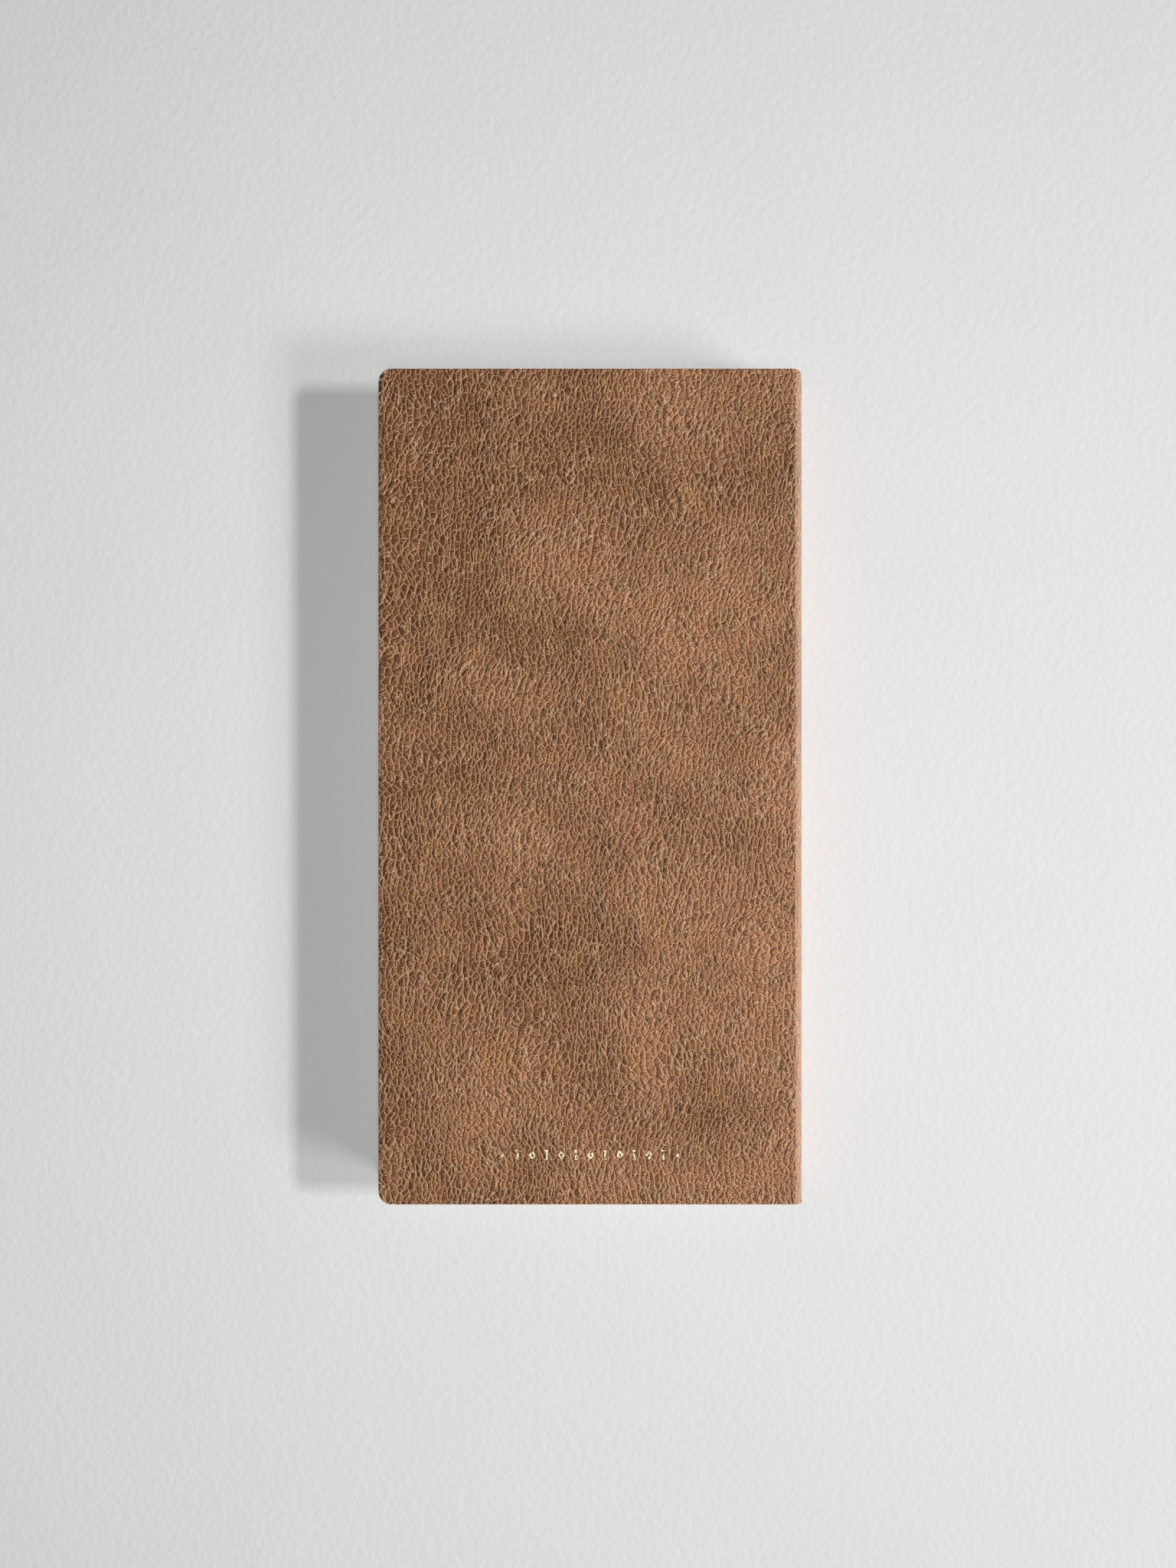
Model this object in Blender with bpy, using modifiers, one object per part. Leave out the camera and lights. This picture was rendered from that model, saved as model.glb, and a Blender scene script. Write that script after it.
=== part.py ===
"""Slim softcover notebook, closed and lying on its front cover.

The cover is one wrap of leather-look sheet over thin card, cut flush at its edges.
It holds a sewn text block: folded sections, stitched through their folds and lined.
+X points to the spine, +Y to the head and +Z up through the back cover.
The origin is the middle of the closed book's footprint, on the surface that it lies on.
"""

import math

import bmesh
import bpy
from mathutils import Matrix, Vector

# Driving sizes, in metres
COVER_WIDTH = 0.096  # fore edge to the outside of the spine
COVER_HEIGHT = 0.189  # tail to head
CORNER_RADIUS = 0.003  # fore-edge corners of the cover
SHOULDER_RADIUS = 0.0021  # outside of the wrap where it turns from a panel to the spine
SHOULDER_FLAT = 0.0001  # flat end of the spine's channel, past the turn
LEATHER = 0.0008
BOARD = 0.0005
ENDPAPER = 0.0002
SQUARE = 0.0012  # how far the cover stands past the text block
SECTIONS_PER_HALF = 5
SECTION = 0.0007  # one pressed section of folded sheets
MIDDLE_LEAVES = 4
LEAF = 0.0002
SPINE_BOARD = 0.0004
SPINE_LINING = 0.0002
THREAD_DIAMETER = 0.0004
SEWING_STATIONS = 6
END_STATION_INSET = 0.012  # first and last stitch, from the ends of the text block
SPINE_BOARD_TUCK = 0.0003  # how far the spine card runs into the turn of each shoulder
HINGE_GAP = 0.0025  # bare leather between a board and the shoulder
TOOLING_MARKS = 13  # gilt marks in the row near the tail
TOOLING_PITCH = 0.0033
TOOLING_HEIGHT = 0.0023
LOZENGE_WIDTH = 0.0017
BAR_WIDTH = 0.0009
END_LOZENGE_HEIGHT = 0.0011
END_LOZENGE_WIDTH = 0.0008
TOOLING_FROM_TAIL = 0.0112
POCKET_DEPTH = 0.00025  # how deep the tooling is pressed
FOIL = 0.0001

# Clearances
LAYER_GAP = 0.0001  # between glued or stacked layers
PANEL_GAP = 0.0003  # between a leather panel and the spine piece, where the wrap bends
AXIS_STANDOFF = 0.00015  # how far a hinge line lies outside the leather
LEAF_ROOT_GAP = 0.0002  # from a middle leaf's root to the line of the folds
POCKET_CLEARANCE = 0.0001  # round and under the foil

# Rounding
CORNER_SEGMENTS = 6
FOLD_SEGMENTS = 3
SHOULDER_SEGMENTS = 6
THREAD_SIDES = 8

# Heights of the layers, from the surface that the book lies on
BOARD_Z = LEATHER + LAYER_GAP
PASTEDOWN_Z = BOARD_Z + BOARD + LAYER_GAP
FLYLEAF_Z = PASTEDOWN_Z + ENDPAPER + LAYER_GAP
SECTIONS_Z = FLYLEAF_Z + ENDPAPER + LAYER_GAP
SECTION_PITCH = SECTION + LAYER_GAP
LEAVES_Z = SECTIONS_Z + SECTIONS_PER_HALF * SECTION_PITCH
LEAF_PITCH = LEAF + LAYER_GAP
MIDDLE_Z = LEAVES_Z + (MIDDLE_LEAVES * LEAF_PITCH - LAYER_GAP) / 2
THICKNESS = 2 * MIDDLE_Z

# Places across the book, from the fore edge at -X to the spine at +X
SPINE_X = COVER_WIDTH / 2
FORE_EDGE_X = -COVER_WIDTH / 2
SHOULDER_X = SPINE_X - SHOULDER_RADIUS - SHOULDER_FLAT
PANEL_END_X = SHOULDER_X - PANEL_GAP
BOARD_END_X = SHOULDER_X - HINGE_GAP
SPINE_BOARD_X = SPINE_X - LEATHER - LAYER_GAP - SPINE_BOARD
SPINE_BOARD_Z = SHOULDER_RADIUS - SPINE_BOARD_TUCK
LINING_X = SPINE_BOARD_X - LAYER_GAP - SPINE_LINING
THREAD_X = LINING_X - LAYER_GAP - THREAD_DIAMETER
FOLD_X = THREAD_X - LAYER_GAP
BLOCK_EDGE_X = FORE_EDGE_X + SQUARE
BLOCK_HEIGHT = COVER_HEIGHT - 2 * SQUARE
BLOCK_CORNER_RADIUS = CORNER_RADIUS - SQUARE / 2


def clear_scene():
    for obj in list(bpy.data.objects):
        bpy.data.objects.remove(obj, do_unlink=True)


def make_collection(name):
    collection = bpy.data.collections.new(name)
    bpy.context.scene.collection.children.link(collection)
    return collection


def make_material(name, colour, roughness, metallic=0.0):
    material = bpy.data.materials.new(name)
    material.use_nodes = True
    shader = material.node_tree.nodes["Principled BSDF"]
    shader.inputs["Base Color"].default_value = (*colour, 1.0)
    shader.inputs["Roughness"].default_value = roughness
    shader.inputs["Metallic"].default_value = metallic
    material.diffuse_color = (*colour, 1.0)
    return material


def make_body(name, axis):
    """An empty on the joint's line, which the pieces of one moving body hang from."""
    empty = bpy.data.objects.new(name, None)
    empty.location = axis
    empty.empty_display_size = SHOULDER_RADIUS
    BOOK.objects.link(empty)
    bpy.context.view_layer.update()
    return empty


def add_piece(name, shape, material, body):
    """Makes a named piece of a closed shape and hangs it from its body's empty."""
    bmesh.ops.recalc_face_normals(shape, faces=shape.faces)
    mesh = bpy.data.meshes.new(name)
    shape.to_mesh(mesh)
    shape.free()
    mesh.materials.append(material)
    mesh.shade_smooth()
    mesh.set_sharp_from_angle(angle=math.radians(30))
    obj = bpy.data.objects.new(name, mesh)
    BOOK.objects.link(obj)
    obj.parent = body
    obj.matrix_parent_inverse = body.matrix_world.inverted()
    return obj


def box_shape(low, high):
    """A closed box between two corners."""
    shape = bmesh.new()
    bmesh.ops.create_cube(shape, size=1.0)
    bmesh.ops.scale(shape, vec=Vector(high) - Vector(low), verts=shape.verts)
    bmesh.ops.translate(shape, vec=(Vector(high) + Vector(low)) / 2, verts=shape.verts)
    return shape


def edges_along(shape, axis, at_x):
    """Edges parallel to an axis whose two ends lie at x = at_x."""
    found = []
    for edge in shape.edges:
        run = edge.verts[1].co - edge.verts[0].co
        along = abs(run[axis]) > 0.999 * run.length
        if along and all(abs(v.co.x - at_x) < 1e-6 for v in edge.verts):
            found.append(edge)
    return found


def round_edges(shape, edges, radius, segments):
    bmesh.ops.bevel(
        shape, geom=edges, offset=radius, segments=segments, profile=0.5, affect="EDGES", material=-1
    )


def sheet_shape(left, right, height, bottom, thickness, corner_radius):
    """A flat layer with its two fore-edge corners rounded."""
    low = (left, -height / 2, bottom)
    high = (right, height / 2, bottom + thickness)
    shape = box_shape(low, high)
    round_edges(shape, edges_along(shape, 2, left), corner_radius, CORNER_SEGMENTS)
    return shape


def section_shape(bottom):
    """Folded sheets pressed together, with a round fold at the spine."""
    shape = sheet_shape(
        BLOCK_EDGE_X, FOLD_X, BLOCK_HEIGHT, bottom, SECTION, BLOCK_CORNER_RADIUS
    )
    round_edges(shape, edges_along(shape, 1, FOLD_X), 0.45 * SECTION, FOLD_SEGMENTS)
    return shape


def as_stacked(bottom, thickness):
    """Underside of a layer of the front half, counted up from the front cover."""
    return bottom


def mirrored(bottom, thickness):
    """Underside of a layer of the back half, counted down from the back cover."""
    return THICKNESS - bottom - thickness


def build_cover(side, underside, body):
    """Leather panel, card and pasted-down endpaper of one cover, cut flush together."""
    layers = (
        ("cover_leather", PANEL_END_X, 0.0, LEATHER, LEATHER_BROWN),
        ("cover_board", BOARD_END_X, BOARD_Z, BOARD, GREY_CARD),
        ("pastedown", BOARD_END_X, PASTEDOWN_Z, ENDPAPER, CREAM_PAPER),
    )
    pieces = []
    for layer, right, bottom, thickness, material in layers:
        shape = sheet_shape(
            FORE_EDGE_X, right, COVER_HEIGHT, underside(bottom, thickness), thickness,
            CORNER_RADIUS,
        )
        pieces.append(add_piece(f"{side}_{layer}", shape, material, body))
    return pieces[0]


def build_flyleaf(side, underside, body):
    bottom = underside(FLYLEAF_Z, ENDPAPER)
    shape = sheet_shape(
        BLOCK_EDGE_X, FOLD_X, BLOCK_HEIGHT, bottom, ENDPAPER, BLOCK_CORNER_RADIUS
    )
    add_piece(f"{side}_flyleaf", shape, CREAM_PAPER, body)


def build_sections(numbers, underside, body):
    """One half's sections, the one next to the cover first."""
    for n, number in enumerate(numbers):
        bottom = underside(SECTIONS_Z + n * SECTION_PITCH, SECTION)
        add_piece(f"section_{number:02d}", section_shape(bottom), PAGE_PAPER, body)


def build_middle_leaves():
    """The leaves in the middle of the block, each on its own fold line."""
    root_x = FOLD_X - LEAF_ROOT_GAP
    for n in range(MIDDLE_LEAVES):
        bottom = LEAVES_Z + n * LEAF_PITCH
        leaf_body = make_body(f"leaf_{n + 1}", (root_x, 0.0, bottom + LEAF / 2))
        shape = sheet_shape(
            BLOCK_EDGE_X, root_x, BLOCK_HEIGHT, bottom, LEAF, BLOCK_CORNER_RADIUS
        )
        add_piece(f"middle_leaf_{n + 1}", shape, PAGE_PAPER, leaf_body)


def build_spine_leather(body):
    """The wrap's channel round the spine: an open surface with both shoulders rounded."""
    shape = box_shape((SHOULDER_X, -COVER_HEIGHT / 2, 0.0), (SPINE_X, COVER_HEIGHT / 2, THICKNESS))
    open_sides = [
        face for face in shape.faces if face.normal.x < -0.9 or abs(face.normal.y) > 0.9
    ]
    bmesh.ops.delete(shape, geom=open_sides, context="FACES_ONLY")
    round_edges(shape, edges_along(shape, 1, SPINE_X), SHOULDER_RADIUS, SHOULDER_SEGMENTS)
    channel = add_piece("spine_leather", shape, LEATHER_BROWN, body)
    wall = channel.modifiers.new("wall", "SOLIDIFY")
    wall.thickness = LEATHER
    wall.offset = -1.0
    wall.use_even_offset = True


def build_spine_strip(name, inner_x, thickness, end_z, material, body):
    """A flat strip that lines the spine from head to tail."""
    shape = box_shape(
        (inner_x, -BLOCK_HEIGHT / 2, end_z),
        (inner_x + thickness, BLOCK_HEIGHT / 2, THICKNESS - end_z),
    )
    add_piece(name, shape, material, body)


def build_sewing_thread(body):
    """The runs of thread that link the folds, one at each sewing station."""
    first = -BLOCK_HEIGHT / 2 + END_STATION_INSET
    pitch = (BLOCK_HEIGHT - 2 * END_STATION_INSET) / (SEWING_STATIONS - 1)
    for n in range(SEWING_STATIONS):
        shape = bmesh.new()
        bmesh.ops.create_cone(
            shape,
            cap_ends=True,
            segments=THREAD_SIDES,
            radius1=THREAD_DIAMETER / 2,
            radius2=THREAD_DIAMETER / 2,
            depth=THICKNESS - 2 * SECTIONS_Z,
            matrix=Matrix.Translation((THREAD_X + THREAD_DIAMETER / 2, first + n * pitch, MIDDLE_Z)),
        )
        add_piece(f"sewing_thread_{n + 1}", shape, THREAD, body)


def bar_shape(centre, grow, bottom, top):
    """An upright bar of the tooling, grown by the same amount all round."""
    half = Vector((BAR_WIDTH / 2 + grow, TOOLING_HEIGHT / 2 + grow))
    return box_shape(
        (centre[0] - half.x, centre[1] - half.y, bottom),
        (centre[0] + half.x, centre[1] + half.y, top),
    )


def lozenge_shape(width, height, centre, grow, bottom, top):
    """A lozenge of the tooling, grown by the same amount all round."""
    slant = math.hypot(width, height)
    wide = width + 2 * grow * slant / height
    high = height + 2 * grow * slant / width
    shape = bmesh.new()
    bmesh.ops.create_cube(shape, size=math.sqrt(0.5))
    bmesh.ops.rotate(shape, matrix=Matrix.Rotation(math.pi / 4, 3, "Z"), verts=shape.verts)
    bmesh.ops.scale(shape, vec=(wide, high, (top - bottom) / math.sqrt(0.5)), verts=shape.verts)
    bmesh.ops.translate(shape, vec=(*centre, (bottom + top) / 2), verts=shape.verts)
    return shape


def mark_shape(n, centre, grow, bottom, top):
    """Mark n of the row: a small lozenge at each end, and bars and lozenges in turn between."""
    if n in (0, TOOLING_MARKS - 1):
        return lozenge_shape(END_LOZENGE_WIDTH, END_LOZENGE_HEIGHT, centre, grow, bottom, top)
    if n % 2 == 1:
        return bar_shape(centre, grow, bottom, top)
    return lozenge_shape(LOZENGE_WIDTH, TOOLING_HEIGHT, centre, grow, bottom, top)


def add_cutter(name, shape):
    mesh = bpy.data.meshes.new(name)
    shape.to_mesh(mesh)
    shape.free()
    cutter = bpy.data.objects.new(name, mesh)
    cutter.hide_render = True
    cutter.display_type = "WIRE"
    CUTTERS.objects.link(cutter)


def build_tooling(leather, body):
    """Gilt lozenges and bars in turn, each seated in its own pressed pocket in the leather."""
    floor_z = THICKNESS - POCKET_DEPTH
    foil_z = floor_z + POCKET_CLEARANCE
    for n in range(TOOLING_MARKS):
        centre = (
            (n - (TOOLING_MARKS - 1) / 2) * TOOLING_PITCH,
            -COVER_HEIGHT / 2 + TOOLING_FROM_TAIL,
        )
        foil = mark_shape(n, centre, 0.0, foil_z, foil_z + FOIL)
        add_piece(f"foil_mark_{n + 1:02d}", foil, GOLD_FOIL, body)
        pocket = mark_shape(n, centre, POCKET_CLEARANCE, floor_z, THICKNESS + POCKET_DEPTH)
        add_cutter(f"pocket_{n + 1:02d}", pocket)
    cut = leather.modifiers.new("pockets", "BOOLEAN")
    cut.operand_type = "COLLECTION"
    cut.collection = CUTTERS
    cut.solver = "EXACT"


clear_scene()
BOOK = make_collection("softcover_notebook")
CUTTERS = make_collection("cutters")

LEATHER_BROWN = make_material("leather_brown", (0.300, 0.153, 0.084), 0.55)
GREY_CARD = make_material("grey_card", (0.330, 0.300, 0.270), 0.9)
CREAM_PAPER = make_material("cream_paper", (0.760, 0.690, 0.560), 0.85)
PAGE_PAPER = make_material("page_paper", (0.850, 0.820, 0.740), 0.85)
LINING_CLOTH = make_material("lining_cloth", (0.700, 0.680, 0.620), 0.9)
THREAD = make_material("linen_thread", (0.820, 0.800, 0.740), 0.8)
GOLD_FOIL = make_material("gold_foil", (0.780, 0.620, 0.330), 0.3, 1.0)

HINGE_X = SPINE_X + AXIS_STANDOFF
FRONT_HALF = make_body("front_half", (0.0, 0.0, 0.0))
SPINE = make_body("spine", (HINGE_X, 0.0, -AXIS_STANDOFF))
BACK_HALF = make_body("back_half", (HINGE_X, 0.0, THICKNESS + AXIS_STANDOFF))
BACK_COVER = make_body("back_cover", (HINGE_X, 0.0, THICKNESS + AXIS_STANDOFF))

build_cover("front", as_stacked, FRONT_HALF)
build_flyleaf("front", as_stacked, FRONT_HALF)
build_sections(range(1, SECTIONS_PER_HALF + 1), as_stacked, FRONT_HALF)
build_middle_leaves()
build_sections(range(2 * SECTIONS_PER_HALF, SECTIONS_PER_HALF, -1), mirrored, BACK_HALF)
build_flyleaf("back", mirrored, BACK_HALF)
BACK_LEATHER = build_cover("back", mirrored, BACK_COVER)
build_tooling(BACK_LEATHER, BACK_COVER)
build_spine_leather(SPINE)
build_spine_strip("spine_board", SPINE_BOARD_X, SPINE_BOARD, SPINE_BOARD_Z, GREY_CARD, SPINE)
build_spine_strip("spine_lining", LINING_X, SPINE_LINING, SECTIONS_Z, LINING_CLOTH, SPINE)
build_sewing_thread(SPINE)
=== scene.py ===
"""A slim softcover notebook, closed, lying on its front cover on textured paper.

Its wrap is one sheet of pebbled leather, cut flat, eased at its edges and bent round the
spine. Inside are endpapers, sewn sections and four middle leaves.
Lengths are in metres. The sheet's own measure runs from the back cover's fore edge, over
the spine, to the front cover's fore edge.
"""
import math

import bmesh
import bpy
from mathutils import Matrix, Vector


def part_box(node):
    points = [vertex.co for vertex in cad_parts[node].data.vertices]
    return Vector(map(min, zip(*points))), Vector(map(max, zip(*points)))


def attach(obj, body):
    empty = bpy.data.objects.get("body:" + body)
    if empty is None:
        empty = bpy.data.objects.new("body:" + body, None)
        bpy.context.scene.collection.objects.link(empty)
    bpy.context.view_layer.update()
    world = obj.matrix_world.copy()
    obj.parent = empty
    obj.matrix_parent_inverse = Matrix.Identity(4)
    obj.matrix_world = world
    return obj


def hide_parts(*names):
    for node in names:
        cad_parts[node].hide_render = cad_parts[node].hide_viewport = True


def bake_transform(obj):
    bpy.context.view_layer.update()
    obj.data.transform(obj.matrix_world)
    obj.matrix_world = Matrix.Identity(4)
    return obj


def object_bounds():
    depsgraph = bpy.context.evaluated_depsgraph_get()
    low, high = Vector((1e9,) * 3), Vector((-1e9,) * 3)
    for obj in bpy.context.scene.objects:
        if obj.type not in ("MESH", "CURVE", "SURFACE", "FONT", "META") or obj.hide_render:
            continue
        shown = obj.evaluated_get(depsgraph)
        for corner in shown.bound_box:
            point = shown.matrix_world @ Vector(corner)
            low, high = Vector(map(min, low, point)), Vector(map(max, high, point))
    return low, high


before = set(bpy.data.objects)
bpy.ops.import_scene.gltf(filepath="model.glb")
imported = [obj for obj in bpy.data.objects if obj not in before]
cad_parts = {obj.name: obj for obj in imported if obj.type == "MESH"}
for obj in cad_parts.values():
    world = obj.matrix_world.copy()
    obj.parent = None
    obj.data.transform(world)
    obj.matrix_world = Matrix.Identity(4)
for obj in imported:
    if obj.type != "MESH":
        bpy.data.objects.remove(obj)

CAD_LOW, CAD_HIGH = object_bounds()
MM = 0.001
TOUCHING = 1e-7  # nearer than this, two places are the same

# The book's places, all from the frame
PANEL_LOW, PANEL_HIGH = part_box("back_cover_leather")
BLOCK_LOW, BLOCK_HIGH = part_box("section_01")
FORE_X = PANEL_LOW.x
SPINE_X = CAD_HIGH.x
THICKNESS = CAD_HIGH.z
HEIGHT = CAD_HIGH.y - CAD_LOW.y
LEATHER = PANEL_HIGH.z - PANEL_LOW.z
FOLD_X = BLOCK_HIGH.x
BOARD_END_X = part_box("back_cover_board")[1].x

# Shaping of the wrap
SHOULDER_RADIUS = 2.1 * MM
CORNER_RADIUS = 3.0 * MM
EASED_EDGE = 0.22 * MM
HEAD_WEAR = 1.0 * MM
TAIL_FLARE = 0.25 * MM
TAIL_FLARE_RUN = 0.9 * MM
GUTTER_RUN = 12.0 * MM  # length over which a page turns down to its fold
LEAF_RUN = 26.0 * MM
PAGE_CORNER = 2.4 * MM
SECTIONS_PER_HALF = 5
MIDDLE_LEAVES = 4
SEWING_STATIONS = 6

# Lengths along the sheet at which its shape changes
PANEL_RUN = SPINE_X - SHOULDER_RADIUS - FORE_X
TURN_RUN = SHOULDER_RADIUS * math.pi / 2
SPINE_RUN = THICKNESS - 2 * SHOULDER_RADIUS
SPINE_START = PANEL_RUN + TURN_RUN
SPINE_END = SPINE_START + SPINE_RUN
FRONT_START = SPINE_END + TURN_RUN
SHEET_LENGTH = FRONT_START + PANEL_RUN
BACK_SEAM = PANEL_RUN + TURN_RUN / 2
SPINE_SEAM = SPINE_START + SPINE_RUN / 2

# How finely the wrap is cut
PANEL_SPACING = 4.0 * MM
ROW_SPACING = 6.0 * MM
TURN_CUTS = 28
CLEAR_OF_END = 1e-5

# Gilt tooling near the tail
MARKS = 13
MARK_HEIGHT = 2.3 * MM
LOZENGE_WIDTH = 1.7 * MM
BAR_WIDTH = 0.9 * MM
STROKE = 0.42 * MM
END_HEIGHT = 1.1 * MM
END_WIDTH = 0.8 * MM
TOOLING_DEPTH = 0.2 * MM
FOIL_FILM = 0.03 * MM

# Leather grain: each family of cells has a slant in degrees, its size as cells per millimetre
# across and along, a seed, and the strength it keeps where it fades
FAMILIES = (
    (3.0, (0.84, 0.60, 1.0), 90.0, 0.92),
    (22.0, (0.50, 0.27, 1.0), 3.0, 0.0),
    (-28.0, (0.46, 0.25, 1.0), 40.0, 0.0),
)
CELL_DISORDER = 0.9

# Camera and lights
FRAME_HEIGHT = 354.3 * MM  # height of the picture, at the cover
CAMERA_PLACE = Vector((-0.6 * MM, 0.57 * MM, 0.25))
LIGHT_REACH = 2.0
FOIL_PLACE = (0.0, -0.083, 0.0)
FLOOR_HALF = 1.5


# ---------------------------------------------------------------- materials

def put(tree, kind, inputs=None, **settings):
    """Adds a node. Inputs take a value or another node's output socket."""
    made = tree.nodes.new(kind)
    for key, value in settings.items():
        setattr(made, key, value)
    for key, value in (inputs or {}).items():
        if isinstance(value, bpy.types.NodeSocket):
            tree.links.new(value, made.inputs[key])
        else:
            made.inputs[key].default_value = value
    return made


def compute(tree, operation, a, b=0.0, c=0.0):
    node = put(tree, "ShaderNodeMath", {0: a, 1: b, 2: c}, operation=operation)
    return node.outputs[0]


def ease(tree, value, low, high, to_low=0.0, to_high=1.0):
    """Smooth step of a value from low to high."""
    node = put(
        tree, "ShaderNodeMapRange",
        {"Value": value, "From Min": low, "From Max": high, "To Min": to_low, "To Max": to_high},
        interpolation_type="SMOOTHSTEP",
    )
    return node.outputs[0]


def stretch(tree, vector, factors):
    node = put(tree, "ShaderNodeVectorMath", {0: vector, 1: factors}, operation="MULTIPLY")
    return node.outputs[0]


def shift(tree, vector, other):
    node = put(tree, "ShaderNodeVectorMath", {0: vector, 1: other}, operation="ADD")
    return node.outputs[0]


def turn(tree, vector, degrees):
    node = put(
        tree, "ShaderNodeVectorRotate",
        {"Vector": vector, "Angle": math.radians(degrees)}, rotation_type="Z_AXIS",
    )
    return node.outputs[0]


def cloud(tree, vector, scale, detail=2.0, roughness=0.5, flat=True):
    """A node of soft noise from 0 to 1."""
    return put(
        tree, "ShaderNodeTexNoise",
        {"Vector": vector, "Scale": scale, "Detail": detail, "Roughness": roughness},
        noise_dimensions="2D" if flat else "3D",
    )


def wander(tree, vector, scale, reach, detail=2.0):
    """Moves a place by up to half of reach, along with its neighbours."""
    noise = cloud(tree, vector, scale, detail).outputs["Color"]
    centred = shift(tree, noise, (-0.5, -0.5, -0.5))
    return shift(tree, vector, stretch(tree, centred, (reach, reach, 0.0)))


def cells(tree, vector, feature, output):
    """Irregular cells: DISTANCE_TO_EDGE gives 0 on a border, and F1 gives each cell's middle."""
    node = put(
        tree, "ShaderNodeTexVoronoi",
        {"Vector": vector, "Scale": 1.0, "Randomness": CELL_DISORDER},
        voronoi_dimensions="2D", feature=feature,
    )
    return node.outputs[output]


def blend_colour(tree, factor, a, b, mode="MIX"):
    node = put(
        tree, "ShaderNodeMix", {"Factor": factor}, data_type="RGBA", blend_type=mode,
    )
    for socket, value in ((node.inputs[6], a), (node.inputs[7], b)):
        if isinstance(value, bpy.types.NodeSocket):
            tree.links.new(value, socket)
        else:
            socket.default_value = (*value, 1.0)
    return node.outputs[2]


def bumped(tree, height, depth):
    node = put(tree, "ShaderNodeBump", {"Height": height, "Distance": depth, "Strength": 1.0})
    return node.outputs[0]


def new_material(name):
    material = bpy.data.materials.new(name)
    material.use_nodes = True
    tree = material.node_tree
    return material, tree, tree.nodes["Principled BSDF"]


def join(tree, shader, **sockets):
    for name, socket in sockets.items():
        tree.links.new(socket, shader.inputs[name.replace("_", " ")])


def sheet_place(tree):
    """Place on the unrolled sheet, in millimetres, so the pattern runs on round the spine."""
    uv = put(tree, "ShaderNodeUVMap", uv_map="Sheet").outputs[0]
    return stretch(tree, uv, (1000.0, 1000.0, 0.0))


def object_place(tree):
    """Place on the object, in millimetres."""
    place = put(tree, "ShaderNodeTexCoord").outputs["Object"]
    return stretch(tree, place, (1000.0, 1000.0, 1000.0))


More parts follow.
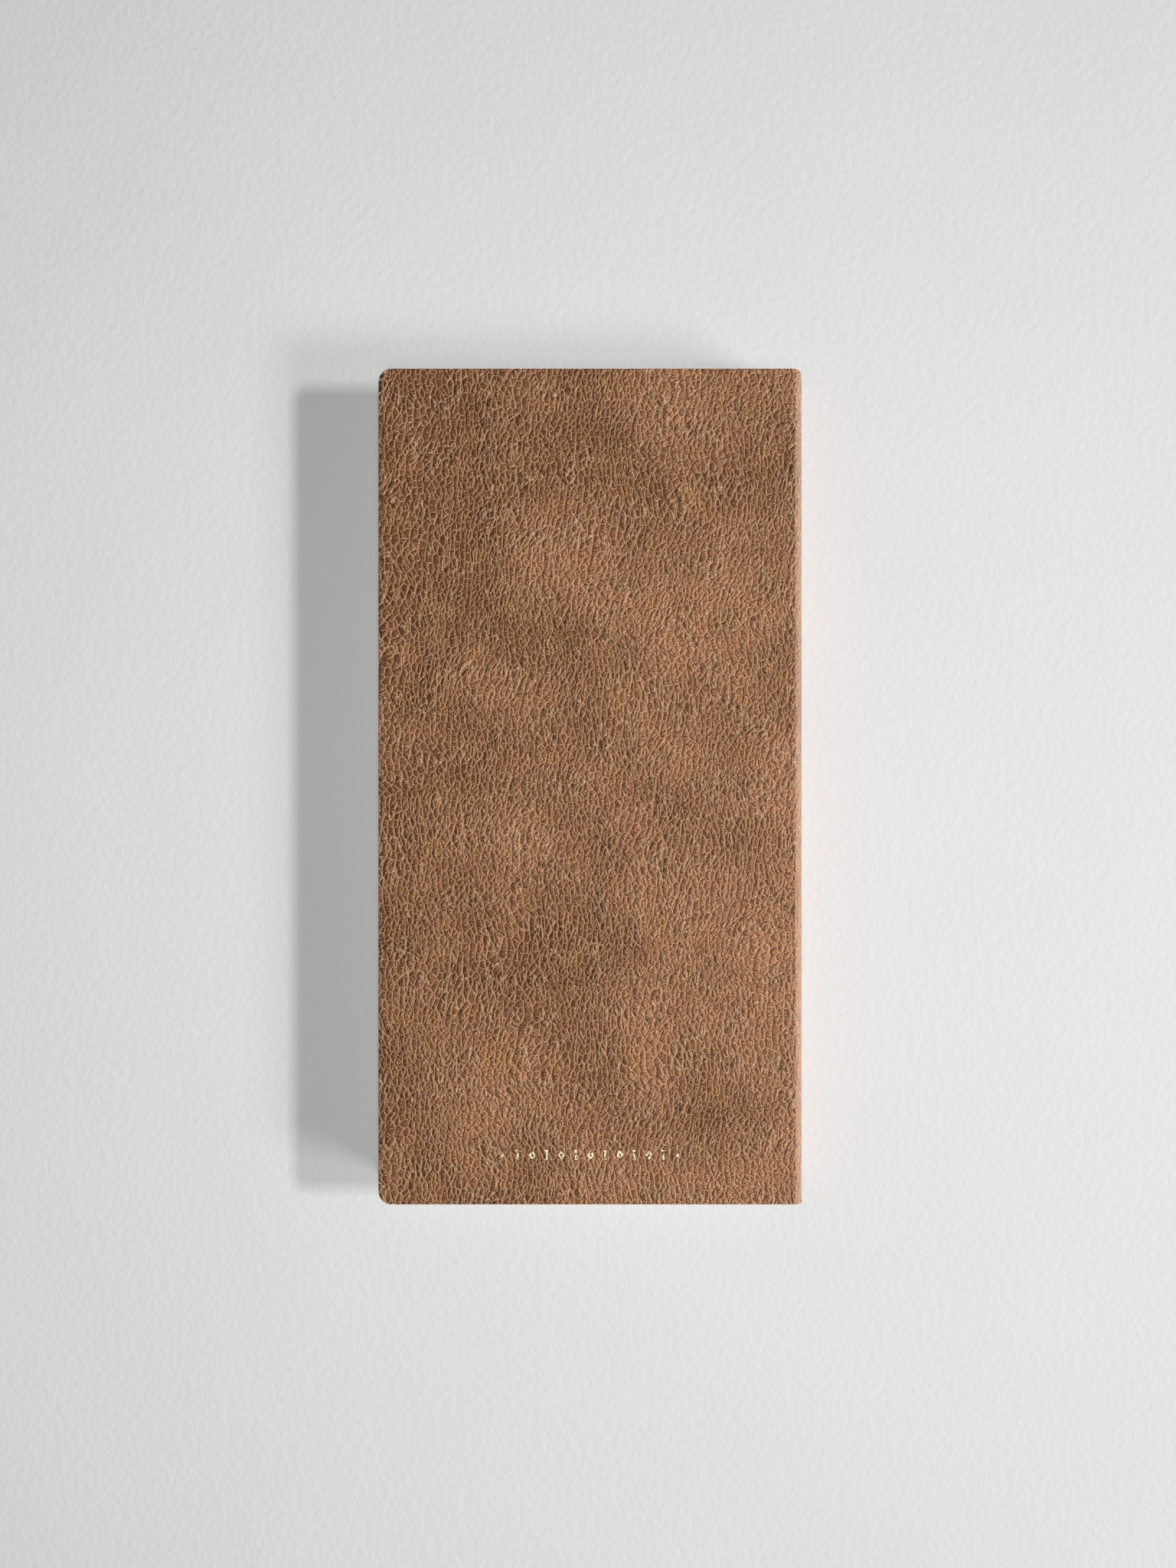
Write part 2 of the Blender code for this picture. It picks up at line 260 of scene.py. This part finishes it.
def pebbled_leather():
    """Pebbles that lean, crossed by slanting creases, with a painted highlight on each cell's right
    rim and painted shade on its left flank.
    """
    material, tree, shader = new_material("pebbled_leather")
    place = sheet_place(tree)
    drift = wander(tree, place, 0.04, 7.0, 1.0)
    ragged = wander(tree, drift, 0.45, 0.55, 1.0)

    lines = None
    painted_flank_shades = None
    height = None
    for slant, size, seed, least in FAMILIES:
        fades = cloud(tree, shift(tree, place, (seed, seed, 0.0)), 0.16, 1.0).outputs[0]
        strength = ease(tree, fades, 0.42, 0.72, least, 0.86)
        spot = stretch(tree, turn(tree, ragged, slant), size)
        border = cells(tree, spot, "DISTANCE_TO_EDGE", "Distance")
        middle = cells(tree, spot, "F1", "Position")
        offset = put(tree, "ShaderNodeVectorMath", {0: spot, 1: middle}, operation="SUBTRACT")
        lean = put(tree, "ShaderNodeSeparateXYZ", {0: offset.outputs[0]}).outputs[0]
        rim = ease(tree, border, 0.0, 0.13)
        # Painted highlight: a pale line along each cell's border, strongest on its right side,
        # towards the window
        line = compute(
            tree, "MULTIPLY", ease(tree, border, 0.015, 0.105, 1.0, 0.0),
            ease(tree, lean, -0.25, 0.20, 0.20, 1.0),
        )
        # Painted shade: darkening near each cell's border on its left side, away from the window
        painted_flank_shade = compute(
            tree, "MULTIPLY", ease(tree, border, 0.04, 0.34, 1.0, 0.0),
            ease(tree, lean, -0.35, 0.05, 1.0, 0.0),
        )
        rise = compute(tree, "MULTIPLY", compute(tree, "MULTIPLY", lean, rim), 0.9)
        rise = compute(tree, "MULTIPLY_ADD", ease(tree, border, -0.10, 0.42), 0.42, rise)
        rise = compute(tree, "MULTIPLY", rise, strength)
        line = compute(tree, "MULTIPLY", line, strength)
        painted_flank_shade = compute(tree, "MULTIPLY", painted_flank_shade, strength)
        height = rise if height is None else compute(tree, "ADD", height, rise)
        lines = line if lines is None else compute(tree, "MAXIMUM", lines, line)
        painted_flank_shades = painted_flank_shade if painted_flank_shades is None else compute(tree, "MAXIMUM", painted_flank_shades, painted_flank_shade)

    across, along, _ = put(tree, "ShaderNodeSeparateXYZ", {0: place}).outputs
    from_middle = compute(tree, "ABSOLUTE", compute(tree, "SUBTRACT", across, SPINE_SEAM / MM))
    spine = SPINE_RUN / MM / 2
    shoulder = TURN_RUN / MM
    # The shoulders: real wear with less relief and lower roughness, plus a painted sheen in their
    # paler colour
    bend = ease(tree, from_middle, spine, spine + shoulder)
    past = ease(tree, from_middle, spine + 0.55 * shoulder, spine + 1.02 * shoulder, 1.0, 0.0)
    worn = compute(tree, "MULTIPLY", bend, past)

    grit = cloud(tree, place, 2.7, 1.0, 0.7).outputs[0]
    height = compute(tree, "MULTIPLY", height, ease(tree, worn, 0.0, 0.5, 1.25, 0.70))
    height = compute(tree, "MULTIPLY_ADD", grit, 0.66, height)

    mottle_and_painted_shade = cloud(tree, place, 0.036, 2.0, 0.45).outputs[0]
    # Painted shade: darker towards the fore edge, away from the window, and towards the head; the
    # noise above is random mottling
    mottle_and_painted_shade = compute(tree, "MULTIPLY_ADD", from_middle, -0.0030, compute(tree, "ADD", mottle_and_painted_shade, 0.165))
    mottle_and_painted_shade = compute(tree, "MULTIPLY_ADD", along, -0.0007, mottle_and_painted_shade)
    warm = cloud(tree, shift(tree, place, (300.0, 140.0, 0.0)), 0.12, 3.0, 0.6).outputs[0]
    colour = blend_colour(
        tree, ease(tree, mottle_and_painted_shade, 0.25, 0.78), (0.300, 0.114, 0.044), (0.560, 0.252, 0.114)
    )
    colour = blend_colour(tree, ease(tree, warm, 0.44, 0.84), colour, (0.480, 0.215, 0.075))
    # Painted shade on the cells' left flanks, times the grit's own light and dark specks
    shade = ease(tree, painted_flank_shades, 0.0, 1.0, 1.0, 0.34)
    shade = compute(tree, "MULTIPLY", shade, ease(tree, grit, 0.36, 0.64, 0.52, 1.42))
    colour = blend_colour(
        tree, 1.0, colour,
        put(tree, "ShaderNodeCombineColor", {0: shade, 1: shade, 2: shade}).outputs[0],
        "MULTIPLY",
    )
    # Painted highlight: the pale cell rims lighten the colour
    pale = compute(tree, "MULTIPLY", lines, 0.80)
    colour = blend_colour(tree, pale, colour, (0.80, 0.49, 0.28))
    # Painted sheen and wear: the shoulders turn paler and pinker
    colour = blend_colour(tree, ease(tree, worn, 0.0, 0.5, 0.0, 0.38), colour, (0.72, 0.48, 0.38))
    roughness = ease(tree, worn, 0.0, 0.5, 0.42, 0.34)
    shader.inputs["Specular IOR Level"].default_value = 0.5
    join(
        tree, shader, Base_Color=colour, Roughness=roughness,
        Normal=bumped(tree, height, 0.55 * MM),
    )
    return material


def cut_leather():
    """The knife-cut edge of the wrap: dark, dense and a little fibrous."""
    material, tree, shader = new_material("cut_leather_edge")
    fibres = cloud(tree, stretch(tree, object_place(tree), (2.0, 2.0, 14.0)), 1.0, 3.0, 0.6, False)
    colour = blend_colour(tree, fibres.outputs[0], (0.050, 0.026, 0.020), (0.120, 0.062, 0.042))
    shader.inputs["Roughness"].default_value = 0.8
    join(tree, shader, Base_Color=colour, Normal=bumped(tree, fibres.outputs[0], 0.05 * MM))
    return material


def plain_fibre(name, dark, light, grain, depth, roughness):
    """Card, paper or cloth backing with a soft fleck."""
    material, tree, shader = new_material(name)
    fleck = cloud(tree, object_place(tree), grain, 4.0, 0.6, False).outputs[0]
    shader.inputs["Roughness"].default_value = roughness
    join(
        tree, shader, Base_Color=blend_colour(tree, fleck, dark, light),
        Normal=bumped(tree, fleck, depth),
    )
    return material


def ruled_page():
    """Cream page with a pale five-millimetre grid."""
    material, tree, shader = new_material("ruled_page")
    place = sheet_place(tree)
    across, along, _ = put(tree, "ShaderNodeSeparateXYZ", {0: place}).outputs
    lines = None
    for run in (across, along):
        phase = compute(tree, "PINGPONG", compute(tree, "ADD", run, 500.0), 2.5)
        line = ease(tree, phase, 0.06, 0.11)
        lines = line if lines is None else compute(tree, "MINIMUM", lines, line)
    fleck = cloud(tree, place, 1.2, 4.0, 0.6).outputs[0]
    paper = blend_colour(tree, fleck, (0.800, 0.765, 0.680), (0.850, 0.820, 0.745))
    colour = blend_colour(tree, lines, (0.560, 0.560, 0.550), paper)
    shader.inputs["Roughness"].default_value = 0.85
    join(tree, shader, Base_Color=colour, Normal=bumped(tree, fleck, 0.02 * MM))
    return material


def page_edges():
    """Cut edges of the sheets, with one fine line of painted shade to each leaf, where the leaves
    meet.
    """
    material, tree, shader = new_material("page_edges")
    place = sheet_place(tree)
    bent = wander(tree, place, 0.25, 0.06)
    _, level, _ = put(tree, "ShaderNodeSeparateXYZ", {0: bent}).outputs
    phase = compute(tree, "PINGPONG", compute(tree, "MULTIPLY", level, 11.5), 0.5)
    leaf = ease(tree, phase, 0.05, 0.30)
    stain = cloud(tree, place, 0.12, 3.0).outputs[0]
    paper = blend_colour(tree, stain, (0.760, 0.715, 0.610), (0.840, 0.805, 0.720))
    # Painted shade: a darker line in each gap between leaves
    colour = blend_colour(tree, leaf, (0.430, 0.385, 0.310), paper)
    shader.inputs["Roughness"].default_value = 0.9
    join(tree, shader, Base_Color=colour, Normal=bumped(tree, leaf, 0.03 * MM))
    return material


def lining_weave():
    """Open cotton weave, stiff with glue."""
    material, tree, shader = new_material("lining_weave")
    _, along, up = put(tree, "ShaderNodeSeparateXYZ", {0: object_place(tree)}).outputs
    threads = None
    for run in (along, up):
        wave = compute(tree, "SINE", compute(tree, "MULTIPLY", run, 9.0))
        threads = wave if threads is None else compute(tree, "MAXIMUM", threads, wave)
    weave = ease(tree, threads, -0.4, 0.7)
    colour = blend_colour(tree, weave, (0.520, 0.470, 0.380), (0.760, 0.730, 0.660))
    shader.inputs["Roughness"].default_value = 0.85
    join(tree, shader, Base_Color=colour, Normal=bumped(tree, weave, 0.08 * MM))
    return material


def twisted_thread():
    """Waxed linen thread with its plies showing."""
    material, tree, shader = new_material("twisted_thread")
    across, _, up = put(tree, "ShaderNodeSeparateXYZ", {0: object_place(tree)}).outputs
    slant = compute(tree, "MULTIPLY_ADD", across, 7.0, compute(tree, "MULTIPLY", up, 9.0))
    ply = ease(tree, compute(tree, "SINE", slant), -0.8, 0.8)
    colour = blend_colour(tree, ply, (0.560, 0.520, 0.430), (0.850, 0.830, 0.770))
    shader.inputs["Roughness"].default_value = 0.6
    join(tree, shader, Base_Color=colour, Normal=bumped(tree, ply, 0.06 * MM))
    return material


def gold_foil():
    """Stamped foil, pale gold in places and dark in others: the dark patches, laid by a noise, are
    painted shade.
    """
    material, tree, shader = new_material("gold_foil")
    place = object_place(tree)
    grain = cloud(tree, place, 1.6, 3.0, 0.6, False).outputs[0]
    clear_of_painted_shade = ease(tree, grain, 0.38, 0.52)
    # Painted shade: the foil turns almost black in the noise's low patches
    colour = blend_colour(tree, clear_of_painted_shade, (0.045, 0.032, 0.016), (0.950, 0.860, 0.600))
    shader.inputs["Metallic"].default_value = 1.0
    join(
        tree, shader, Base_Color=colour, Roughness=ease(tree, grain, 0.3, 0.7, 0.24, 0.40),
        Normal=bumped(tree, grain, 0.10 * MM),
    )
    return material


def textured_paper():
    """Pale cold-pressed paper under the book."""
    material, tree, shader = new_material("textured_paper")
    place = object_place(tree)
    tooth = cloud(tree, place, 0.55, 4.0, 0.55, False).outputs[0]
    broad = cloud(tree, place, 0.02, 2.0, 0.5, False).outputs[0]
    colour = blend_colour(tree, broad, (0.765, 0.765, 0.765), (0.795, 0.795, 0.790))
    shader.inputs["Roughness"].default_value = 0.95
    shader.inputs["Specular IOR Level"].default_value = 0.2
    join(tree, shader, Base_Color=colour, Normal=bumped(tree, tooth, 0.14 * MM))
    return material


# ---------------------------------------------------------------- shapes

def to_object(name, shape, materials):
    mesh = bpy.data.meshes.new(name)
    shape.to_mesh(mesh)
    shape.free()
    for material in materials:
        mesh.materials.append(material)
    obj = bpy.data.objects.new(name, mesh)
    bpy.context.scene.collection.objects.link(obj)
    return obj


def cut_across(shape, axis, places):
    """Cuts a shape right through at each place along an axis."""
    normal = Vector((0.0, 0.0, 0.0))
    normal[axis] = 1.0
    for place in places:
        point = Vector((0.0, 0.0, 0.0))
        point[axis] = place
        everything = shape.verts[:] + shape.edges[:] + shape.faces[:]
        bmesh.ops.bisect_plane(
            shape, geom=everything, dist=TOUCHING, plane_co=point, plane_no=normal
        )


def steps(low, high, spacing):
    """Even places between two ends, without the ends."""
    count = max(1, round((high - low) / spacing))
    return [low + (high - low) * n / count for n in range(1, count)]


def rectangle(low_x, high_x, low_y, high_y, z=0.0):
    """One upward face."""
    shape = bmesh.new()
    bmesh.ops.create_grid(shape, x_segments=1, y_segments=1, size=0.5)
    bmesh.ops.scale(shape, vec=(high_x - low_x, high_y - low_y, 1.0), verts=shape.verts)
    middle = ((low_x + high_x) / 2, (low_y + high_y) / 2, z)
    bmesh.ops.translate(shape, vec=middle, verts=shape.verts)
    return shape


def round_corners(shape, at_x, radius):
    corners = [v for v in shape.verts if abs(v.co.x - at_x) < TOUCHING]
    bmesh.ops.bevel(
        shape, geom=corners, offset=radius, segments=12, profile=0.5, affect="VERTICES", material=-1
    )


def thicken(shape, depth):
    """Gives a flat face or faces a body that reaches down by depth."""
    top = shape.faces[:]
    grown = bmesh.ops.extrude_face_region(shape, geom=top, use_keep_orig=True)
    lower = [item for item in grown["geom"] if isinstance(item, bmesh.types.BMVert)]
    bmesh.ops.translate(shape, vec=(0.0, 0.0, -depth), verts=lower)
    bmesh.ops.recalc_face_normals(shape, faces=shape.faces)


def along_sheet(place, y, depth):
    """Where a point of the unrolled sheet lies once the sheet is bent round the book."""
    radius = SHOULDER_RADIUS - depth
    inner_x = SPINE_X - SHOULDER_RADIUS
    if place <= PANEL_RUN:
        return Vector((FORE_X + place, y, THICKNESS - depth))
    if place <= SPINE_START:
        angle = (place - PANEL_RUN) / SHOULDER_RADIUS
        top = THICKNESS - SHOULDER_RADIUS
        return Vector((inner_x + radius * math.sin(angle), y, top + radius * math.cos(angle)))
    if place <= SPINE_END:
        return Vector((SPINE_X - depth, y, THICKNESS - SHOULDER_RADIUS - (place - SPINE_START)))
    if place <= FRONT_START:
        angle = (place - SPINE_END) / SHOULDER_RADIUS
        return Vector((
            inner_x + radius * math.cos(angle), y, SHOULDER_RADIUS - radius * math.sin(angle)
        ))
    return Vector((inner_x - (place - FRONT_START), y, depth))


def flat_wrap(start, end):
    """A stretch of the wrap, cut flat, with its outside up at z = 0 and its cut edges eased."""
    shape = rectangle(start, end, -HEIGHT / 2, HEIGHT / 2)
    for fore_edge in (0.0, SHEET_LENGTH):
        if start <= fore_edge <= end:
            round_corners(shape, fore_edge, CORNER_RADIUS)
    thicken(shape, LEATHER)
    rim = [
        edge for edge in shape.edges
        if all(abs(v.co.z) < TOUCHING for v in edge.verts) and not on_seam(edge, start, end)
    ]
    bmesh.ops.bevel(
        shape, geom=rim, offset=EASED_EDGE, segments=3, profile=0.5, affect="EDGES", material=-1
    )
    cuts = steps(start, end, PANEL_SPACING)
    for low in (PANEL_RUN, SPINE_END):
        cuts += [low + TURN_RUN * n / TURN_CUTS for n in range(TURN_CUTS + 1)]
    cut_across(shape, 0, [c for c in cuts if start + CLEAR_OF_END < c < end - CLEAR_OF_END])
    cut_across(shape, 1, steps(-HEIGHT / 2, HEIGHT / 2, ROW_SPACING))
    end_cuts = [HEIGHT / 2 - HEAD_WEAR * n / 5 for n in range(1, 6)]
    end_cuts += [TAIL_FLARE_RUN * n / 3 - HEIGHT / 2 for n in range(1, 4)]
    cut_across(shape, 1, end_cuts)
    return shape


def on_seam(edge, start, end):
    """True for an edge where one stretch of the wrap runs on into the next."""
    for seam in (BACK_SEAM, SPINE_SEAM):
        if seam in (start, end) and all(abs(v.co.x - seam) < TOUCHING for v in edge.verts):
            return True
    return False


def map_sheet(mesh):
    """Writes each corner's place on the unrolled sheet into the UV map that the grain reads."""
    layer = mesh.uv_layers.get("Sheet") or mesh.uv_layers.new(name="Sheet")
    for loop in mesh.loops:
        co = mesh.vertices[loop.vertex_index].co
        layer.data[loop.index].uv = (co.x, co.y)


def knocked(place):
    """The spine's head is worn round, and its tail flares out a little."""
    near = min(max((place.x - (SPINE_X - SHOULDER_RADIUS)) / SHOULDER_RADIUS, 0.0), 1.0)
    over_head = min(max(place.y - (HEIGHT / 2 - HEAD_WEAR), 0.0), HEAD_WEAR)
    bite = HEAD_WEAR - math.sqrt(HEAD_WEAR ** 2 - over_head ** 2)
    below = max(TAIL_FLARE_RUN - HEIGHT / 2 - place.y, 0.0) / TAIL_FLARE_RUN
    return Vector((place.x + (TAIL_FLARE * below ** 2 - bite) * near, place.y, place.z))


def bend_wrap(mesh):
    """Bends the flat sheet round the book."""
    for vert in mesh.vertices:
        vert.co = knocked(along_sheet(vert.co.x, vert.co.y, -vert.co.z))


def dress_wrap(mesh):
    """Grain outside, backing inside, and a dark cut edge between."""
    for face in mesh.polygons:
        if face.center.z < -0.98 * LEATHER:
            face.material_index = 2
        elif face.normal.z < 0.35 and face.center.z < -0.25 * EASED_EDGE:
            face.material_index = 1
        else:
            face.material_index = 0


def applied(obj):
    """Replaces an object's mesh with what its modifiers make of it."""
    graph = bpy.context.evaluated_depsgraph_get()
    mesh = bpy.data.meshes.new_from_object(obj.evaluated_get(graph))
    obj.modifiers.clear()
    obj.data = mesh


def soften(mesh, degrees=40.0):
    mesh.shade_smooth()
    mesh.set_sharp_from_angle(angle=math.radians(degrees))


def make_wrap(name, start, end, cutter=None):
    obj = to_object(name, flat_wrap(start, end), (LEATHER_SKIN, CUT_EDGE, BACKING))
    dress_wrap(obj.data)
    if cutter is not None:
        cut = obj.modifiers.new("tooling", "BOOLEAN")
        cut.object = cutter
        cut.solver = "EXACT"
        applied(obj)
    map_sheet(obj.data)
    bend_wrap(obj.data)
    soften(obj.data)
    return obj


# ---------------------------------------------------------------- tooling

def lozenge_face(width, height, stroke=None):
    shape = bmesh.new()
    bmesh.ops.create_circle(shape, cap_ends=True, segments=4, radius=0.5)
    bmesh.ops.scale(shape, vec=(width, height, 1.0), verts=shape.verts)
    if stroke is not None:
        middle = shape.faces[:]
        bmesh.ops.inset_region(
            shape, faces=middle, thickness=stroke, use_boundary=True, use_even_offset=True
        )
        bmesh.ops.delete(shape, geom=middle, context="FACES_ONLY")
    return shape


def bar_face():
    """An upright bar that flares at its ends."""
    shape = bmesh.new()
    bmesh.ops.create_grid(shape, x_segments=1, y_segments=5, size=0.5)
    bmesh.ops.scale(shape, vec=(BAR_WIDTH, MARK_HEIGHT, 1.0), verts=shape.verts)
    waist = [v for v in shape.verts if abs(v.co.y) < 0.35 * MARK_HEIGHT]
    bmesh.ops.scale(shape, vec=(STROKE / BAR_WIDTH, 1.0, 1.0), verts=waist)
    return shape


def mark_face(n):
    if n in (0, MARKS - 1):
        return lozenge_face(END_WIDTH, END_HEIGHT)
    if n % 2 == 1:
        return bar_face()
    return lozenge_face(LOZENGE_WIDTH, MARK_HEIGHT, STROKE)


def mark_middle(n):
    low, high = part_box(f"foil_mark_{n + 1:02d}")
    return (low + high) / 2


def tooling_cutter():
    """All the pockets of the tooling, as one shape in the flat sheet's own measure."""
    pockets = bmesh.new()
    for n in range(MARKS):
        shape = mark_face(n)
        thicken(shape, 2 * TOOLING_DEPTH)
        middle = mark_middle(n)
        bmesh.ops.translate(
            shape, vec=(middle.x - FORE_X, middle.y, TOOLING_DEPTH), verts=shape.verts
        )
        mesh = bpy.data.meshes.new("pocket")
        shape.to_mesh(mesh)
        shape.free()
        pockets.from_mesh(mesh)
        bpy.data.meshes.remove(mesh)
    return to_object("tooling_cutter", pockets, (LEATHER_SKIN,))


def make_foil():
    """The foil lines each pocket like a shallow tray."""
    foil = bmesh.new()
    for n in range(MARKS):
        shape = mark_face(n)
        slope = 0.22 * (END_WIDTH if n in (0, MARKS - 1) else STROKE)
        bmesh.ops.recalc_face_normals(shape, faces=shape.faces)
        bmesh.ops.inset_region(
            shape, faces=shape.faces[:], thickness=slope, depth=-0.6 * TOOLING_DEPTH,
            use_boundary=True, use_even_offset=True,
        )
        middle = mark_middle(n)
        top = THICKNESS - 0.12 * TOOLING_DEPTH
        bmesh.ops.translate(shape, vec=(middle.x, middle.y, top), verts=shape.verts)
        thicken(shape, FOIL_FILM)
        mesh = bpy.data.meshes.new("mark")
        shape.to_mesh(mesh)
        shape.free()
        foil.from_mesh(mesh)
        bpy.data.meshes.remove(mesh)
    obj = to_object("gilt_tooling", foil, (GOLD,))
    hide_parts(*[f"foil_mark_{n + 1:02d}" for n in range(MARKS)])
    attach(obj, "back_cover")


# ---------------------------------------------------------------- paper

def paper_shape(low, high, corner, bend_low, bend_high, spacing):
    """A sheet or a pressed section, with cuts close together near its spine end."""
    shape = rectangle(low.x, high.x, low.y, high.y, high.z)
    round_corners(shape, low.x, corner)
    thicken(shape, high.z - low.z)
    cut_across(shape, 0, [bend_low] + steps(bend_low, bend_high, spacing))
    return shape


def dress_paper(mesh):
    """Pages on the flat faces and sheet edges round them, each with its own place map."""
    layer = mesh.uv_layers.new(name="Sheet")
    for face in mesh.polygons:
        flat = abs(face.normal.z) > 0.7
        face.material_index = 0 if flat else 1
        ends = abs(face.normal.y) > 0.7
        for index in face.loop_indices:
            co = mesh.vertices[mesh.loops[index].vertex_index].co
            if flat:
                layer.data[index].uv = (co.x, co.y)
            else:
                layer.data[index].uv = (co.x if ends else co.y, co.z)


def make_paper(name, node, materials, low=None, high=None, spacing=0.8 * MM, run=GUTTER_RUN):
    """Replaces a CAD sheet or section with one cut finely near the spine."""
    node_low, node_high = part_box(node)
    low = low or node_low
    high = high or node_high
    bend_low = high.x - run
    shape = paper_shape(low, high, PAGE_CORNER, bend_low, high.x, spacing)
    obj = to_object(name, shape, materials)
    dress_paper(obj.data)
    soften(obj.data, 30.0)
    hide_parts(node)
    return obj


def make_section(number):
    node = f"section_{number:02d}"
    obj = make_paper(f"sewn_{node}", node, (PAGE, EDGES))
    if number <= SECTIONS_PER_HALF:
        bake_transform(obj)
    else:
        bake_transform(obj)


def make_flyleaf(side):
    node = f"{side}_flyleaf"
    obj = make_paper(f"{side}_free_endpaper", node, (ENDPAPER, ENDPAPER))
    if side == "front":
        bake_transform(obj)
    else:
        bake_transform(obj)


def make_pastedown(side):
    """The pasted endpaper runs on past the card to the first fold, as the inside of the hinge."""
    node = f"{side}_pastedown"
    low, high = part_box(node)
    reach = Vector((FOLD_X, high.y, high.z))
    obj = make_paper(
        f"{side}_pasted_endpaper", node, (ENDPAPER, ENDPAPER),
        high=reach, spacing=0.2 * MM, run=FOLD_X - BOARD_END_X,
    )
    if side == "front":
        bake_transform(obj)
    else:
        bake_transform(obj)


def make_leaf(n):
    node = f"middle_leaf_{n}"
    obj = make_paper(
        f"turning_leaf_{n}", node, (PAGE, EDGES), spacing=1.0 * MM, run=LEAF_RUN
    )
    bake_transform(obj)


# ---------------------------------------------------------------- scene

def give(node, material):
    """Gives a CAD piece a better material."""
    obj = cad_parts[node]
    for slot in obj.material_slots:
        slot.material = material


def area_light(name, place, size, power, target=(0.0, 0.0, 0.0)):
    """A soft white light that the camera doesn't see."""
    light = bpy.data.lights.new(name, "AREA")
    light.shape = "RECTANGLE"
    light.size, light.size_y = size
    light.energy = power
    obj = bpy.data.objects.new(name, light)
    obj.location = place
    aim = Vector(target) - Vector(place)
    obj.rotation_euler = aim.to_track_quat("-Z", "Y").to_euler()
    obj.visible_camera = False
    bpy.context.scene.collection.objects.link(obj)


def add_camera():
    """Straight above and close, framed with a wide margin all round the cover."""
    data = bpy.data.cameras.new("camera")
    data.angle = 2 * math.atan(FRAME_HEIGHT / 2 / (CAMERA_PLACE.z - THICKNESS))
    data.clip_start = 0.01
    obj = bpy.data.objects.new("camera", data)
    obj.location = CAMERA_PLACE
    bpy.context.scene.collection.objects.link(obj)
    bpy.context.scene.camera = obj


def add_floor():
    sheet = rectangle(-FLOOR_HALF, FLOOR_HALF, -FLOOR_HALF, FLOOR_HALF)
    to_object("paper_floor", sheet, (textured_paper(),))


def light_from(azimuth, elevation):
    """A place round the book, by its direction in degrees. Azimuth 0 is the spine's side."""
    level = LIGHT_REACH * math.cos(math.radians(elevation))
    return Vector((
        level * math.cos(math.radians(azimuth)), level * math.sin(math.radians(azimuth)),
        LIGHT_REACH * math.sin(math.radians(elevation)),
    ))


def add_lights():
    """A window low on the spine's side, the sky beside it, a small overhead light, and a card.

    The card stands where the foil mirrors it towards the camera.
    """
    area_light("window", light_from(1.0, 31.0), (0.30, 0.13), 22.6)
    area_light("low_sky", light_from(-25.0, 25.0), (0.62, 0.36), 16.6)
    area_light("overhead", (0.0, 0.0, 0.50), (0.16, 0.16), 0.98)
    area_light("glint_card", (0.03, -0.41, 0.95), (0.12, 0.12), 0.85, target=FOIL_PLACE)
    world = bpy.data.worlds.new("studio")
    world.use_nodes = True
    background = world.node_tree.nodes["Background"]
    background.inputs["Color"].default_value = (1.0, 1.0, 1.0, 1.0)
    background.inputs["Strength"].default_value = 0.055
    bpy.context.scene.world = world


LEATHER_SKIN = pebbled_leather()
CUT_EDGE = cut_leather()
BACKING = plain_fibre("leather_backing", (0.16, 0.10, 0.07), (0.22, 0.15, 0.11), 3.0, 0.04 * MM, 0.9)
CARD = plain_fibre("dyed_card", (0.060, 0.036, 0.028), (0.105, 0.066, 0.050), 3.0, 0.03 * MM, 0.9)
ENDPAPER = plain_fibre("endpaper", (0.70, 0.63, 0.50), (0.78, 0.71, 0.58), 1.5, 0.02 * MM, 0.85)
PAGE = ruled_page()
EDGES = page_edges()
GOLD = gold_foil()

add_camera()
add_floor()
add_lights()

CUTTER = tooling_cutter()
BACK_WRAP = make_wrap("back_wrap", 0.0, BACK_SEAM, CUTTER)
SPINE_WRAP = make_wrap("spine_wrap", BACK_SEAM, SPINE_SEAM)
FRONT_WRAP = make_wrap("front_wrap", SPINE_SEAM, SHEET_LENGTH)
bpy.data.objects.remove(CUTTER, do_unlink=True)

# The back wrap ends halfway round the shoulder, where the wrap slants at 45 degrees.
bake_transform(BACK_WRAP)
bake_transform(SPINE_WRAP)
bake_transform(FRONT_WRAP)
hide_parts("back_cover_leather")
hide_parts("spine_leather")
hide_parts("front_cover_leather")

make_foil()
for number in range(1, 2 * SECTIONS_PER_HALF + 1):
    make_section(number)
for cover_side in ("front", "back"):
    make_flyleaf(cover_side)
    make_pastedown(cover_side)
for leaf in range(1, MIDDLE_LEAVES + 1):
    make_leaf(leaf)

for card in ("front_cover_board", "back_cover_board", "spine_board"):
    give(card, CARD)
give("spine_lining", lining_weave())
THREAD = twisted_thread()
for station in range(1, SEWING_STATIONS + 1):
    give(f"sewing_thread_{station}", THREAD)

bpy.context.scene.view_settings.view_transform = "Standard"
